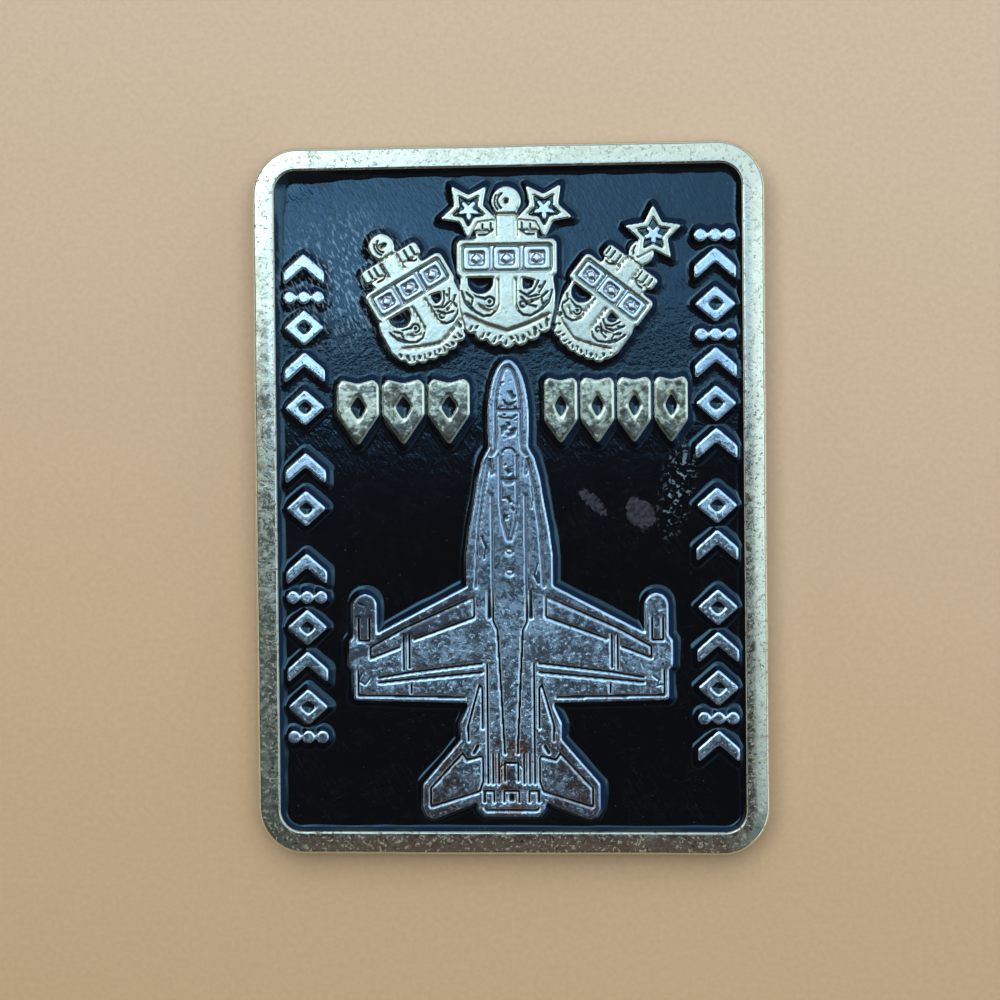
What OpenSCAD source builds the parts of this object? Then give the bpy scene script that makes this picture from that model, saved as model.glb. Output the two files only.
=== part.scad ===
// Rectangular challenge coin: a struck blank with a raised border, raised devices and enamel pools.
// The coin lies on its back. +Z leaves the front face and +Y runs to the top of the design.
// The origin is at the centre of the face that the coin rests on.

/* [Blank] */
// Width of the coin, across its short side
coin_w = 36.8; // [36:0.1:44]
// Height of the coin, along its long side
coin_h = 50.8; // [50:0.1:60]
// Thickness over the borders
coin_t = 3; // [2.6:0.1:4]
// Radius of the outer corners
corner_r = 3.4; // [2:0.1:5]
// Width of the raised border
border_w = 1.7; // [1.2:0.05:1.8]
// Radius of the corners inside the border
field_r = 1.5; // [0.8:0.1:3]

/* [Fields] */
// Depth of the front field below the border
front_recess = 0.8; // [0.5:0.05:0.9]
// Depth of the back field below the border
back_recess = 0.6; // [0.4:0.05:0.8]
// Share of a field's depth that enamel fills
enamel_fill = 0.58; // [0.3:0.01:0.85]
// Share of the front field's depth that plaques and star centres fill
inlay_fill = 0.85; // [0.5:0.01:0.95]

/* [Aircraft] */
// Half width of the nose and forward fuselage
nose_w = 1.47; // [1.3:0.01:1.6]
// Height of the nose tip above the coin's centre
nose_y = 10; // [9.4:0.1:10.2]
// Width of the panel lines
panel_line_w = 0.2; // [0.12:0.01:0.3]
// Depth of the panel lines
panel_line_d = 0.22; // [0.1:0.01:0.4]

/* [Anchors] */
// Width of the plaque across the centre anchor
plaque_w = 7.2; // [6.6:0.1:7.4]
// Height of the plaque across the centre anchor
plaque_h = 2.7; // [2.4:0.1:2.9]
// Width of the frame round each plaque
plaque_frame = 0.36; // [0.25:0.01:0.5]
// Size of the left anchor beside the centre one
left_scale = 0.88; // [0.8:0.01:0.9]
// Size of the right anchor beside the centre one
right_scale = 0.84; // [0.76:0.01:0.88]
// Turn of the left anchor, anticlockwise
left_turn = 30; // [24:1:34]
// Turn of the right anchor, clockwise
right_turn = 38; // [32:1:40]

/* [Stars] */
// Radius of a star's points
star_r = 2.14; // [1.8:0.02:2.2]
// Radius of a star's notches, as a share of its points
star_notch = 0.5; // [0.4:0.01:0.55]
// Size of a star's centre beside the whole star
star_inlay = 0.62; // [0.5:0.01:0.7]

/* [Marks] */
// Width of the side columns
column_w = 2.95; // [2.5:0.05:3]
// Height of the upper marks
upper_mark_h = 4.75; // [4:0.05:4.8]
// Gap between neighbouring upper marks
upper_mark_gap = 0.3; // [0.2:0.05:0.5]

/* [Back] */
// Radius of the compass rose's long points
compass_r = 9.6; // [8:0.1:10]
// Mean radius of the rope ring
ring_r = 11.6; // [11:0.1:12.5]
// Width of the rope ring
ring_w = 1.3; // [0.8:0.1:1.6]

/* [Hidden] */
$fn = 48;

GOLD = "#B9B48C";
SILVER = "#8FA6B4";
ENAMEL = "#12131C";

// Heights of the field floors, the enamel and the inlays
front_floor = coin_t - front_recess;
front_enamel_t = front_recess * enamel_fill;
back_enamel_t = back_recess * enamel_fill;
inlay_t = front_recess * inlay_fill;

// Field inside the border
field_w = coin_w - 2 * border_w;
field_h = coin_h - 2 * border_w;

// Places of the anchors' plaques: the middle of each plaque's lower edge
centre_anchor_at = [0, 15.9];
left_anchor_at = [-6.4, 14.2];
right_anchor_at = [6.75, 13.95];

// Places and turns of the stars
left_star_at = [-2.7, 20.7];
right_star_at = [2.7, 20.7];
outer_star_at = [10.46, 18.75];
inner_star_turn = -1;

// Slots of the upper marks: left end, right end and number of marks
upper_mark_y = 6.32;
upper_left_span = [-12.3, -2.75, 3];
upper_right_span = [2.6, 12.8, 4];

// The side columns: place of each centre line, and where each column starts and ends
left_column_x = 2.05 - field_w / 2;
right_column_x = field_w / 2 - 1.88;
left_column_y = [17.8, -17.4];
right_column_y = [-18.8, 19.1];

// Kinds of mark in a column, with the length that each takes along it
CHEVRON = 0;
LOZENGE = 1;
PELLETS = 2;
SPACE = 3;
MARK_LENGTH = [2.3, 2.6, 0.9, 1.1];
LEFT_COLUMN = [
    CHEVRON, PELLETS, LOZENGE, CHEVRON, LOZENGE, SPACE, CHEVRON, LOZENGE, SPACE,
    CHEVRON, PELLETS, LOZENGE, CHEVRON, LOZENGE, PELLETS,
];
RIGHT_COLUMN = [
    CHEVRON, PELLETS, LOZENGE, CHEVRON, LOZENGE, SPACE, CHEVRON, LOZENGE, SPACE,
    CHEVRON, LOZENGE, CHEVRON, PELLETS, LOZENGE, CHEVRON, PELLETS,
];

// Right half of the aircraft behind its nose, from the cockpit to the nozzles
nose_end_y = 5.5;
nose_power = 2.2;
FUSELAGE_HALF = [
    [1.42, 3.75],
    [1.85, 3],
    [2.25, 1.5],
    [2.47, 0],
    [2.85, -2],
    [3.1, -4],
    [3.1, -14.8],
    [3.65, -16],
    [3.6, -17.1],
    [2.6, -21.2],
    [2.35, -22.2],
    [1.9, -22.65],
];
wing_store = [10.45, -7.55];
wing_store_r = 0.85;
WING_HALF = concat(
    [[3, -6.1], [9.6, -9.5]],
    arc(wing_store, wing_store_r, 180, 0, 12),
    [[11.3, -9.7], [11.6, -10.05], [11.6, -11.9], [11.3, -12.15]],
    [[11.3, -14.15], [11.15, -14.3], [3, -14.5]]);
TAILPLANE_HALF = [
    [3.4, -16.9],
    [6.35, -20.3],
    [6.35, -22.1],
    [6.05, -22.65],
    [5.6, -22.85],
    [2.4, -21.6],
];

// Panel lines on the right half of the aircraft, each a chain of points
PANEL_LINES = [
    [[0.88, 6.42], [0.95, 3.6], [1.35, 3.1]],
    [[1.4, 2.9], [1.85, 0.5], [2.2, -2], [2.45, -6.3]],
    [[1.2, 0.4], [1.2, -8.7], [0.9, -9.3], [0.45, -18.2]],
    [[2.6, -8.4], [2.6, -6.9], [7.65, -9.15], [10.1, -10.5], [10.1, -11.4]],
    [[2.55, -8.35], [7, -9.95]],
    [[7.9, -10.45], [10.1, -11.3]],
    [[7.25, -9.5], [7.25, -12.1]],
    [[7.7, -9.6], [7.7, -12.2]],
    [[1.95, -11.65], [7.2, -12.3], [9.6, -12.7]],
    [[1.95, -12.3], [7.2, -12.8], [9.6, -13.05]],
    [[7.15, -13.05], [7.15, -13.9]],
    [[11, -12.1], [11, -13.95], [3.2, -14.1]],
    [[10.15, -8.3], [10.15, -10], [10.9, -10], [10.9, -8.3]],
    [[1.7, -11.6], [1.7, -20.4]],
    [[2.05, -16.4], [2.05, -13.4], [2.25, -13.2], [3.1, -16.2], [3.05, -17.3]],
    [[2.05, -18.3], [3.2, -18.6], [3.5, -18.1], [5.8, -20.6], [5.8, -22]],
    [[5.8, -21.95], [2.3, -20.85], [2.05, -20.2], [2.05, -18.3]],
    [[1.3, -18], [1.3, -20.4]],
    [[0.9, -18], [0.9, -20.4]],
    [[1.95, -21.7], [1.95, -20.8], [1.25, -20.8], [1.25, -21.7]],
];
// Panel lines that cross the aircraft's axis: each is the right half of a symmetric chain
SPAN_LINES = [
    [[0.88, 6.42]],
    [[0.88, 6.35], [0.86, 7.1], [0.74, 7.9], [0.55, 8.7], [0.3, 9.3], [0.1, 9.5]],
    [[0.62, 1.45]],
    [[0.62, 3.2], [0.62, 0.2], [0.45, -1.6], [0.12, -2.8]],
    [[0.5, -20.2], [0.5, -18.8]],
    [[0.55, -21.7], [0.55, -20.8]],
    [[2, -21.95], [1.8, -22.2]],
];
// Wider slots on the right half of the aircraft
SLOTS = [
    [[1.5, -6.4], [1.5, -8.5]],
    [[1.35, 3], [1.2, 1.8]],
    [[2.35, -17.5], [2.75, -18.2]],
    [[0.1, -21], [0.1, -21.6]],
];
slot_w = 0.28;
// Round hatches on the aircraft's axis, and their radius
HATCHES = [-3.7, -5.2];
hatch_r = 0.26;

// Lower edge of an anchor: arms below the plaque, then a row of rope scallops
CENTRE_ARMS = [[-3.3, 0.1], [-3.45, -1.2], [-3.4, -2.2], [-3.05, -3.6]];
SIDE_ARMS = [[-3.7, 0.1], [-3.95, -0.6], [-4, -2.6], [-3.6, -3.5]];
CENTRE_SCALLOPS = [[-2.6, -3.5], [-1.8, -4.05], [-0.95, -4.4], [0, -4.6]];
SIDE_SCALLOPS = [[-2.8, -3.75], [-1.95, -4.05], [-1.1, -4.25], [-0.25, -4.35], [0.6, -4.3]];
scallop_r = 0.5;
// How far the head of each side anchor leans off its shank, and the width of its foot
left_lean = -0.3;
right_lean = 0.1;
left_reach = 1;
right_reach = 0.92;

// ---- Plain shapes ----

module rounded_rect(w, h, r) {
    square([w - 2 * r, h], center = true);
    square([w, h - 2 * r], center = true);
    for (x = [-1, 1], y = [-1, 1])
        translate([x * (w / 2 - r), y * (h / 2 - r)]) circle(r);
}

// Points along an arc
function arc(centre, r, from, to, steps) =
    [for (i = [0 : steps])
        let (turn = from + (to - from) * i / steps)
        centre + r * [cos(turn), sin(turn)]];

// A line of width w along a chain of points, mitred at its corners
function left_of(v) = [-v.y, v.x] / norm(v);
function miter(points, i) =
    let (before = i == 0 ? points[1] - points[0] : points[i] - points[i - 1])
    let (after = i == len(points) - 1 ? before : points[i + 1] - points[i])
    let (sides = left_of(before) + left_of(after))
    2 * sides / (sides * sides);

module stroke(points, w) {
    ids = [0 : len(points) - 1];
    back = [len(points) - 1 : -1 : 0];
    polygon(concat(
        [for (i = ids) points[i] + miter(points, i) * w / 2],
        [for (i = back) points[i] - miter(points, i) * w / 2]));
}

function flipped(points) = [for (i = [len(points) - 1 : -1 : 0]) [-points[i].x, points[i].y]];

module both_sides() {
    children();
    mirror([1, 0]) children();
}

// Something raised from the front field's floor by t
module from_front_floor(t) {
    translate([0, 0, front_floor]) linear_extrude(t) children();
}

// Something that hangs from the back field's floor, t deep
module from_back_floor(t) {
    translate([0, 0, back_recess - t]) linear_extrude(t) children();
}

function star_points(r, notch) =
    [for (i = [0 : 9]) (i % 2 == 0 ? r : r * notch) * [cos(90 + 36 * i), sin(90 + 36 * i)]];

module star_shape(size = 1) {
    polygon(star_points(star_r * size, star_notch));
}

// ---- Blank ----

module coin_blank() color(GOLD) {
    difference() {
        linear_extrude(coin_t) rounded_rect(coin_w, coin_h, corner_r);
        translate([0, 0, front_floor])
            linear_extrude(front_recess + 1) rounded_rect(field_w, field_h, field_r);
        translate([0, 0, -1])
            linear_extrude(back_recess + 1) rounded_rect(field_w, field_h, field_r);
    }
}

// ---- Aircraft ----

function nose_half(y) = nose_w * sqrt(1 - pow((y - nose_end_y) / (nose_y - nose_end_y), nose_power));
nose_steps = 14;
NOSE_HALF = [for (i = [0 : nose_steps])
    let (y = nose_end_y + (nose_y - nose_end_y) * cos(90 * i / nose_steps))
    [nose_half(y), y]];

module jet_shape() {
    polygon(concat(NOSE_HALF, FUSELAGE_HALF, flipped(FUSELAGE_HALF), flipped(NOSE_HALF)));
    both_sides() {
        polygon(WING_HALF);
        polygon(TAILPLANE_HALF);
    }
}

module jet_panel_lines() {
    both_sides() for (line = PANEL_LINES) stroke(line, panel_line_w);
    both_sides() for (line = SLOTS) stroke(line, slot_w);
    for (line = SPAN_LINES) stroke(concat(line, flipped(line)), panel_line_w);
    for (y = HATCHES) translate([0, y]) difference() {
        circle(hatch_r);
        circle(hatch_r / 2);
    }
}

module jet_relief() color(SILVER) {
    difference() {
        from_front_floor(front_recess) jet_shape();
        translate([0, 0, coin_t - panel_line_d]) linear_extrude(1) jet_panel_lines();
    }
}

// ---- Anchors: drawn upright, with the middle of the plaque's lower edge at the origin ----

module place_centre() translate(centre_anchor_at) children();
module place_left() translate(left_anchor_at) rotate(left_turn) scale(left_scale) children();
module place_right() translate(right_anchor_at) rotate(-right_turn) scale(right_scale) children();

module plaque_edge() translate([0, plaque_h / 2]) rounded_rect(plaque_w, plaque_h, 0.45);

module plaque_window()
    translate([0, plaque_h / 2])
        rounded_rect(plaque_w - 2 * plaque_frame, plaque_h - 2 * plaque_frame, 0.25);

// Ring, hub and stock above the plaque
ring_y = plaque_h + 2.7;
hub_top_y = plaque_h + 1.75;
module anchor_head(lean = 0) translate([lean, 0]) {
    translate([0, ring_y]) circle(1.05);
    translate([0, plaque_h + 0.9]) rounded_rect(1.6, 2.4, 0.25);
    both_sides() {
        translate([1.6, plaque_h + 1.15]) rounded_rect(2, 1.15, 0.3);
        translate([1.1, plaque_h + 0.3]) rounded_rect(2.2, 0.7, 0.2);
    }
}

module head_lines(lean = 0) translate([lean, 0]) {
    stroke([
        [-0.75, plaque_h + 0.1],
        [-0.75, hub_top_y],
        [0.75, hub_top_y],
        [0.75, plaque_h + 0.1],
    ], 0.14);
    both_sides() stroke([[0.9, plaque_h + 0.56], [2.3, plaque_h + 0.56]], 0.12);
    translate([0, ring_y]) circle(0.16, $fn = 24);
}

// Arms and rope edge below the plaque
module centre_foot() {
    polygon(concat(CENTRE_ARMS, CENTRE_SCALLOPS, flipped(CENTRE_SCALLOPS), flipped(CENTRE_ARMS)));
    both_sides() for (p = CENTRE_SCALLOPS) translate(p) circle(scallop_r);
}

module side_foot(reach) {
    inner = [[2.35, -3.75], [3.3, -1.5], [3.4, 0.1]];
    edge = concat(SIDE_SCALLOPS, [[1.5, -4.05]]);
    polygon([for (p = concat(SIDE_ARMS, edge, inner)) [p.x * reach, p.y]]);
    for (p = edge) translate([p.x * reach, p.y]) circle(scallop_r);
}

module foot_lines() {
    both_sides() {
        stroke([[0.62, -0.1], [0.62, -2], [0.8, -2.4]], 0.14);
        stroke([[3.05, -2.65], [1.5, -3.35], [0, -3.85]], 0.14);
    }
    stroke([[-2.1, -1.95], [-1.6, -2.3], [-1.05, -2.4]], 0.14);
    stroke([[2.4, -1.5], [1.6, -1.85], [1.25, -2.1]], 0.14);
}

// Openings beside the shank, filled with enamel
opening_steps = 8;
module anchor_openings() {
    polygon(concat([[-0.95, -0.02], [-2.85, -0.02]],
        [for (i = [1 : opening_steps - 1])
            [-1.9 - 0.95 * cos(180 * i / opening_steps), -0.15 - 1.05 * sin(180 * i / opening_steps)]]));
    polygon([[1.1, -0.05], [2, -0.25], [1.75, -0.8], [1.15, -0.9]]);
}

module centre_anchor_shape() difference() {
    place_centre() {
        anchor_head();
        plaque_edge();
        centre_foot();
    }
    translate(left_star_at) rotate(180 + inner_star_turn) star_shape();
    translate(right_star_at) rotate(180 - inner_star_turn) star_shape();
}

module left_anchor_shape() difference() {
    place_left() {
        anchor_head(left_lean);
        plaque_edge();
        side_foot(left_reach);
    }
    centre_anchor_shape();
}

module right_anchor_shape() difference() {
    place_right() {
        anchor_head(right_lean);
        plaque_edge();
        mirror([1, 0]) side_foot(right_reach);
    }
    centre_anchor_shape();
    translate(outer_star_at) star_shape();
}

// Children: the outline, the plaque's window, the openings and the engraved lines
module anchor_relief() color(GOLD) difference() {
    from_front_floor(front_recess) children(0);
    translate([0, 0, front_floor - 1]) linear_extrude(front_recess + 2) {
        children(1);
        children(2);
    }
    translate([0, 0, coin_t - panel_line_d]) linear_extrude(1) children(3);
}

module anchor_lines(lean = 0) {
    head_lines(lean);
    foot_lines();
}

module anchor_centre() anchor_relief() {
    centre_anchor_shape();
    place_centre() plaque_window();
    place_centre() anchor_openings();
    place_centre() anchor_lines();
}

module anchor_left() anchor_relief() {
    left_anchor_shape();
    place_left() plaque_window();
    place_left() anchor_openings();
    place_left() anchor_lines(left_lean);
}

module anchor_right() anchor_relief() {
    right_anchor_shape();
    place_right() plaque_window();
    place_right() anchor_openings();
    place_right() anchor_lines(right_lean);
}

// ---- Plaques: a plate with three raised tiles, each with a lozenge stud ----

tile_pitch = (plaque_w - 2 * plaque_frame) / 3;
tile_size = [tile_pitch - 0.3, plaque_h - 2 * plaque_frame - 0.3];

module tiles() {
    for (i = [-1 : 1])
        translate([i * tile_pitch, plaque_h / 2]) difference() {
            rounded_rect(tile_size.x, tile_size.y, 0.2);
            difference() {
                rounded_rect(tile_size.x - 0.7, tile_size.y - 0.7, 0.15);
                rotate(45) square(0.55, center = true);
            }
        }
}

// Children: the window and the tiles
module plaque() color(SILVER) {
    from_front_floor(inlay_t - 0.2) children(0);
    translate([0, 0, front_floor + inlay_t - 0.2]) linear_extrude(0.2) children(1);
}

module plaque_centre() plaque() {
    place_centre() plaque_window();
    place_centre() tiles();
}

module plaque_left() plaque() {
    place_left() plaque_window();
    place_left() tiles();
}

module plaque_right() plaque() {
    place_right() plaque_window();
    place_right() tiles();
}

module anchor_enamel() color(ENAMEL) from_front_floor(front_enamel_t) children();
module anchor_centre_enamel() anchor_enamel() place_centre() anchor_openings();
module anchor_left_enamel() anchor_enamel() place_left() anchor_openings();
module anchor_right_enamel() anchor_enamel() place_right() anchor_openings();

// ---- Stars ----

module star_frame() color(GOLD) from_front_floor(front_recess) difference() {
    star_shape();
    star_shape(star_inlay);
}

module star_centre_left() translate(left_star_at) rotate(180 + inner_star_turn) star_frame();
module star_centre_right() translate(right_star_at) rotate(180 - inner_star_turn) star_frame();
module star_right() translate(outer_star_at) star_frame();

module star_inlays() color(SILVER) from_front_floor(inlay_t) {
    translate(left_star_at) rotate(180 + inner_star_turn) star_shape(star_inlay);
    translate(right_star_at) rotate(180 - inner_star_turn) star_shape(star_inlay);
    translate(outer_star_at) star_shape(star_inlay);
}

// ---- Side columns ----

chevron_t = 1;
lozenge_hole = 0.4;

// Share of the gap that each join in a column takes, so that the column fills its length
function total(list, i = 0) = i == len(list) ? 0 : list[i] + total(list, i + 1);
function mark_length(kind) = MARK_LENGTH[kind];
function column_gap(kinds, ends) =
    (abs(ends[1] - ends[0]) - total([for (k = kinds) mark_length(k)])) / (len(kinds) - 1);
function column_place(kinds, ends, i) =
    let (gap = column_gap(kinds, ends))
    let (before = i == 0 ? 0 : total([for (j = [0 : i - 1]) mark_length(kinds[j]) + gap]))
    ends[0] + sign(ends[1] - ends[0]) * (before + mark_length(kinds[i]) / 2);

module lozenge(w, h) polygon([[0, h / 2], [-w / 2, 0], [0, -h / 2], [w / 2, 0]]);

module mark_shape(kind) {
    h = mark_length(kind);
    if (kind == CHEVRON)
        translate([0, -h / 2]) polygon([
            [-column_w / 2, 0],
            [-column_w / 2, chevron_t],
            [0, h],
            [column_w / 2, chevron_t],
            [column_w / 2, 0],
            [0, h - chevron_t],
        ]);
    if (kind == LOZENGE) lozenge(column_w, h);
    if (kind == PELLETS)
        for (i = [-1 : 1]) translate([i * (column_w - h) / 2, 0]) circle(h / 2);
}

module column_shape(kinds, ends, x) {
    for (i = [0 : len(kinds) - 1])
        translate([x, column_place(kinds, ends, i)]) mark_shape(kinds[i]);
}

module column_holes(kinds, ends, x) {
    for (i = [0 : len(kinds) - 1])
        if (kinds[i] == LOZENGE)
            translate([x, column_place(kinds, ends, i)])
                lozenge(column_w * lozenge_hole, mark_length(LOZENGE) * lozenge_hole);
}

module left_column_marks() color(SILVER) from_front_floor(front_recess) difference() {
    column_shape(LEFT_COLUMN, left_column_y, left_column_x);
    column_holes(LEFT_COLUMN, left_column_y, left_column_x);
}

module right_column_marks() color(SILVER) from_front_floor(front_recess) difference() {
    column_shape(RIGHT_COLUMN, right_column_y, right_column_x);
    column_holes(RIGHT_COLUMN, right_column_y, right_column_x);
}

module column_mark_enamel() color(ENAMEL) from_front_floor(front_enamel_t) {
    column_holes(LEFT_COLUMN, left_column_y, left_column_x);
    column_holes(RIGHT_COLUMN, right_column_y, right_column_x);
}

// ---- Upper marks: rows of shields, each with a lozenge window ----

function upper_mark_w(span) = (span[1] - span[0] + upper_mark_gap) / span[2] - upper_mark_gap;
function upper_mark_x(span, i) =
    span[0] + upper_mark_w(span) / 2 + i * (upper_mark_w(span) + upper_mark_gap);

// Shares of a shield's width: how far its foot tapers, and the dip in its top
shield_taper = 0.72;
shield_dip = 0.1;
shield_shoulder = 0.12;
// Shares of a shield's width and height that its window takes, and its rise above the middle
window_share = [0.4, 0.4];
window_rise = 0.35;

module shield(w, h) polygon([
    [0, h / 2 - w * shield_dip],
    [-w / 2 + w * shield_shoulder, h / 2],
    [-w / 2, h / 2 - w * shield_shoulder],
    [-w / 2, w * shield_taper - h / 2],
    [0, -h / 2],
    [w / 2, w * shield_taper - h / 2],
    [w / 2, h / 2 - w * shield_shoulder],
    [w / 2 - w * shield_shoulder, h / 2],
]);

module place_upper_marks(span) {
    for (i = [0 : span[2] - 1]) translate([upper_mark_x(span, i), upper_mark_y]) children();
}

module upper_shields(span) place_upper_marks(span) shield(upper_mark_w(span), upper_mark_h);

module upper_windows(span) place_upper_marks(span)
    translate([0, window_rise])
        lozenge(upper_mark_w(span) * window_share.x, upper_mark_h * window_share.y);

module upper_marks(span) color(GOLD) from_front_floor(front_recess) difference() {
    upper_shields(span);
    upper_windows(span);
}

module upper_left_marks() upper_marks(upper_left_span);
module upper_right_marks() upper_marks(upper_right_span);

module upper_mark_enamel() color(ENAMEL) from_front_floor(front_enamel_t) {
    upper_windows(upper_left_span);
    upper_windows(upper_right_span);
}

// ---- Front enamel: the field with every raised device cut out ----

module field_enamel() color(ENAMEL) from_front_floor(front_enamel_t) difference() {
    rounded_rect(field_w, field_h, field_r);
    jet_shape();
    centre_anchor_shape();
    left_anchor_shape();
    right_anchor_shape();
    translate(left_star_at) rotate(180 + inner_star_turn) star_shape();
    translate(right_star_at) rotate(180 - inner_star_turn) star_shape();
    translate(outer_star_at) star_shape();
    column_shape(LEFT_COLUMN, left_column_y, left_column_x);
    column_shape(RIGHT_COLUMN, right_column_y, right_column_x);
    upper_shields(upper_left_span);
    upper_shields(upper_right_span);
}

// ---- Back ----

cartouche = [20, 5.6];
cartouche_y = 18.2;
cartouche_frame = 0.7;

// Reach of the long points, the notches and the short points, in turn round the rose
COMPASS_REACH = [1, 0.32, 0.66, 0.32];

module compass_shape() {
    polygon([for (i = [0 : 15])
        compass_r * COMPASS_REACH[i % 4] * [sin(22.5 * i), cos(22.5 * i)]]);
}

module ring_shape(r) circle(r, $fn = 96);

module reverse_compass() color(SILVER) from_back_floor(back_recess) difference() {
    compass_shape();
    circle(compass_r * 0.2);
}

module reverse_ring() color(GOLD) from_back_floor(back_recess) difference() {
    ring_shape(ring_r + ring_w / 2);
    ring_shape(ring_r - ring_w / 2);
}

module reverse_centre_enamel() color(ENAMEL) from_back_floor(back_enamel_t) {
    difference() {
        ring_shape(ring_r - ring_w / 2);
        compass_shape();
    }
    circle(compass_r * 0.2);
}

module cartouche_shape() rounded_rect(cartouche.x, cartouche.y, 1.6);

// A blank panel inside a raised frame
module reverse_cartouche(y) color(GOLD) translate([0, y]) {
    from_back_floor(back_recess) difference() {
        cartouche_shape();
        rounded_rect(cartouche.x - 2 * cartouche_frame, cartouche.y - 2 * cartouche_frame, 1);
    }
    from_back_floor(back_enamel_t)
        rounded_rect(cartouche.x - 2 * cartouche_frame, cartouche.y - 2 * cartouche_frame, 1);
}

module reverse_top_cartouche() reverse_cartouche(cartouche_y);
module reverse_bottom_cartouche() reverse_cartouche(-cartouche_y);

module reverse_field_enamel() color(ENAMEL) from_back_floor(back_enamel_t) difference() {
    rounded_rect(field_w, field_h, field_r);
    ring_shape(ring_r + ring_w / 2);
    translate([0, cartouche_y]) cartouche_shape();
    translate([0, -cartouche_y]) cartouche_shape();
}

coin_blank();
field_enamel();
jet_relief();
anchor_centre();
anchor_left();
anchor_right();
plaque_centre();
plaque_left();
plaque_right();
anchor_centre_enamel();
anchor_left_enamel();
anchor_right_enamel();
star_centre_left();
star_centre_right();
star_right();
star_inlays();
left_column_marks();
right_column_marks();
column_mark_enamel();
upper_left_marks();
upper_right_marks();
upper_mark_enamel();
reverse_field_enamel();
reverse_centre_enamel();
reverse_ring();
reverse_compass();
reverse_top_cartouche();
reverse_bottom_cartouche();
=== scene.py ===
"""Looks of a rectangular two-tone challenge coin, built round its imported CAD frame.

Every raised device and every pool of enamel is sampled from its own CAD node, and gets the soft,
struck form of the real thing: rounded edges, softened engraving, and enamel that climbs its walls.
"""
import math

import bpy
import numpy as np
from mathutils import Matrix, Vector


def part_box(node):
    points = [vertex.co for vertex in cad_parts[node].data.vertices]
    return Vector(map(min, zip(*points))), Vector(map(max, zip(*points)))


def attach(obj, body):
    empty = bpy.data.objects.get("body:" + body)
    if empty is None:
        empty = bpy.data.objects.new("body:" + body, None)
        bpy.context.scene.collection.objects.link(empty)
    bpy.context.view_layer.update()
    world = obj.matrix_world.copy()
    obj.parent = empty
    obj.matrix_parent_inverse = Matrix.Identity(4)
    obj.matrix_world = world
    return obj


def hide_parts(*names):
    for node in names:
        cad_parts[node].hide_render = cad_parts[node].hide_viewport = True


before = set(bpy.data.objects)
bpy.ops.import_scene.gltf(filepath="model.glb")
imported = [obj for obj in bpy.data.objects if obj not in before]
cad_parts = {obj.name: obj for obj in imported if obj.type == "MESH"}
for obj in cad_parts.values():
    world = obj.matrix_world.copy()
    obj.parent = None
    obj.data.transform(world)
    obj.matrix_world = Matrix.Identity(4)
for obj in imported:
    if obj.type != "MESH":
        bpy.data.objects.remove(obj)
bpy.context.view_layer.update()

MM = 0.001
FRONT, BACK = 1, -1

SILVER_FRONT = ("jet_relief", "plaque_centre", "plaque_left", "plaque_right", "star_inlays",
                "left_column_marks", "right_column_marks")
GOLD_FRONT = ("anchor_centre", "anchor_left", "anchor_right", "star_centre_left",
              "star_centre_right", "star_right", "upper_left_marks", "upper_right_marks")
ENAMEL_FRONT = ("field_enamel", "anchor_centre_enamel", "anchor_left_enamel",
                "anchor_right_enamel", "column_mark_enamel", "upper_mark_enamel")
SILVER_BACK = ("reverse_compass",)
GOLD_BACK = ("reverse_ring", "reverse_top_cartouche", "reverse_bottom_cartouche")
ENAMEL_BACK = ("reverse_field_enamel", "reverse_centre_enamel")

LATTICE = 64
FACING_UP = 0.9
SAME_HEIGHT = 0.001
GRID_MARGIN = 0.1


# -------------------- curves and noise

def ease(values, low, high):
    """A smooth step from 0 at low to 1 at high."""
    t = np.clip((values - low) / (high - low), 0, 1)
    return t * t * (3 - 2 * t)


def lattice_noise(x, y, size, seed):
    """Smooth noise from -1 to 1 with features of a size in millimetres."""
    table = np.random.default_rng(seed).uniform(-1, 1, (LATTICE, LATTICE))
    u, v = x / size, y / size
    i, j = np.floor(u).astype(int), np.floor(v).astype(int)
    fu, fv = ease(u - i, 0, 1), ease(v - j, 0, 1)
    i, j, next_i, next_j = i % LATTICE, j % LATTICE, (i + 1) % LATTICE, (j + 1) % LATTICE
    low = table[i, j] * (1 - fu) + table[next_i, j] * fu
    high = table[i, next_j] * (1 - fu) + table[next_i, next_j] * fu
    return low * (1 - fv) + high * fv


# -------------------- sampling the CAD nodes

def cad_triangles(name, side):
    """A node's welded corners in millimetres and its triangles, turned so that its face is up."""
    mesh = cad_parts[name].data
    mesh.calc_loop_triangles()
    corners = np.empty(len(mesh.vertices) * 3)
    mesh.vertices.foreach_get("co", corners)
    triangles = np.empty(len(mesh.loop_triangles) * 3, dtype=np.int64)
    mesh.loop_triangles.foreach_get("vertices", triangles)
    corners = np.round(corners.reshape(-1, 3) / MM, 4)
    corners, welded = np.unique(corners, axis=0, return_inverse=True)
    triangles = welded.reshape(-1)[triangles].reshape(-1, 3)
    if side == BACK:
        corners[:, 2] *= -1
        triangles = triangles[:, ::-1]
    return corners, triangles


def facing(corners, triangles):
    """The z part of each triangle's unit normal."""
    a, b, c = (corners[triangles[:, k]] for k in range(3))
    normal = np.cross(b - a, c - a)
    return normal[:, 2] / np.maximum(np.linalg.norm(normal, axis=1), 1e-12)


def outline_of(triangles):
    """The edges that only one of these triangles has."""
    edges = np.concatenate([triangles[:, (0, 1)], triangles[:, (1, 2)], triangles[:, (2, 0)]])
    ends, counts = np.unique(np.sort(edges, axis=1), axis=0, return_counts=True)
    return ends[counts == 1]


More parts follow.
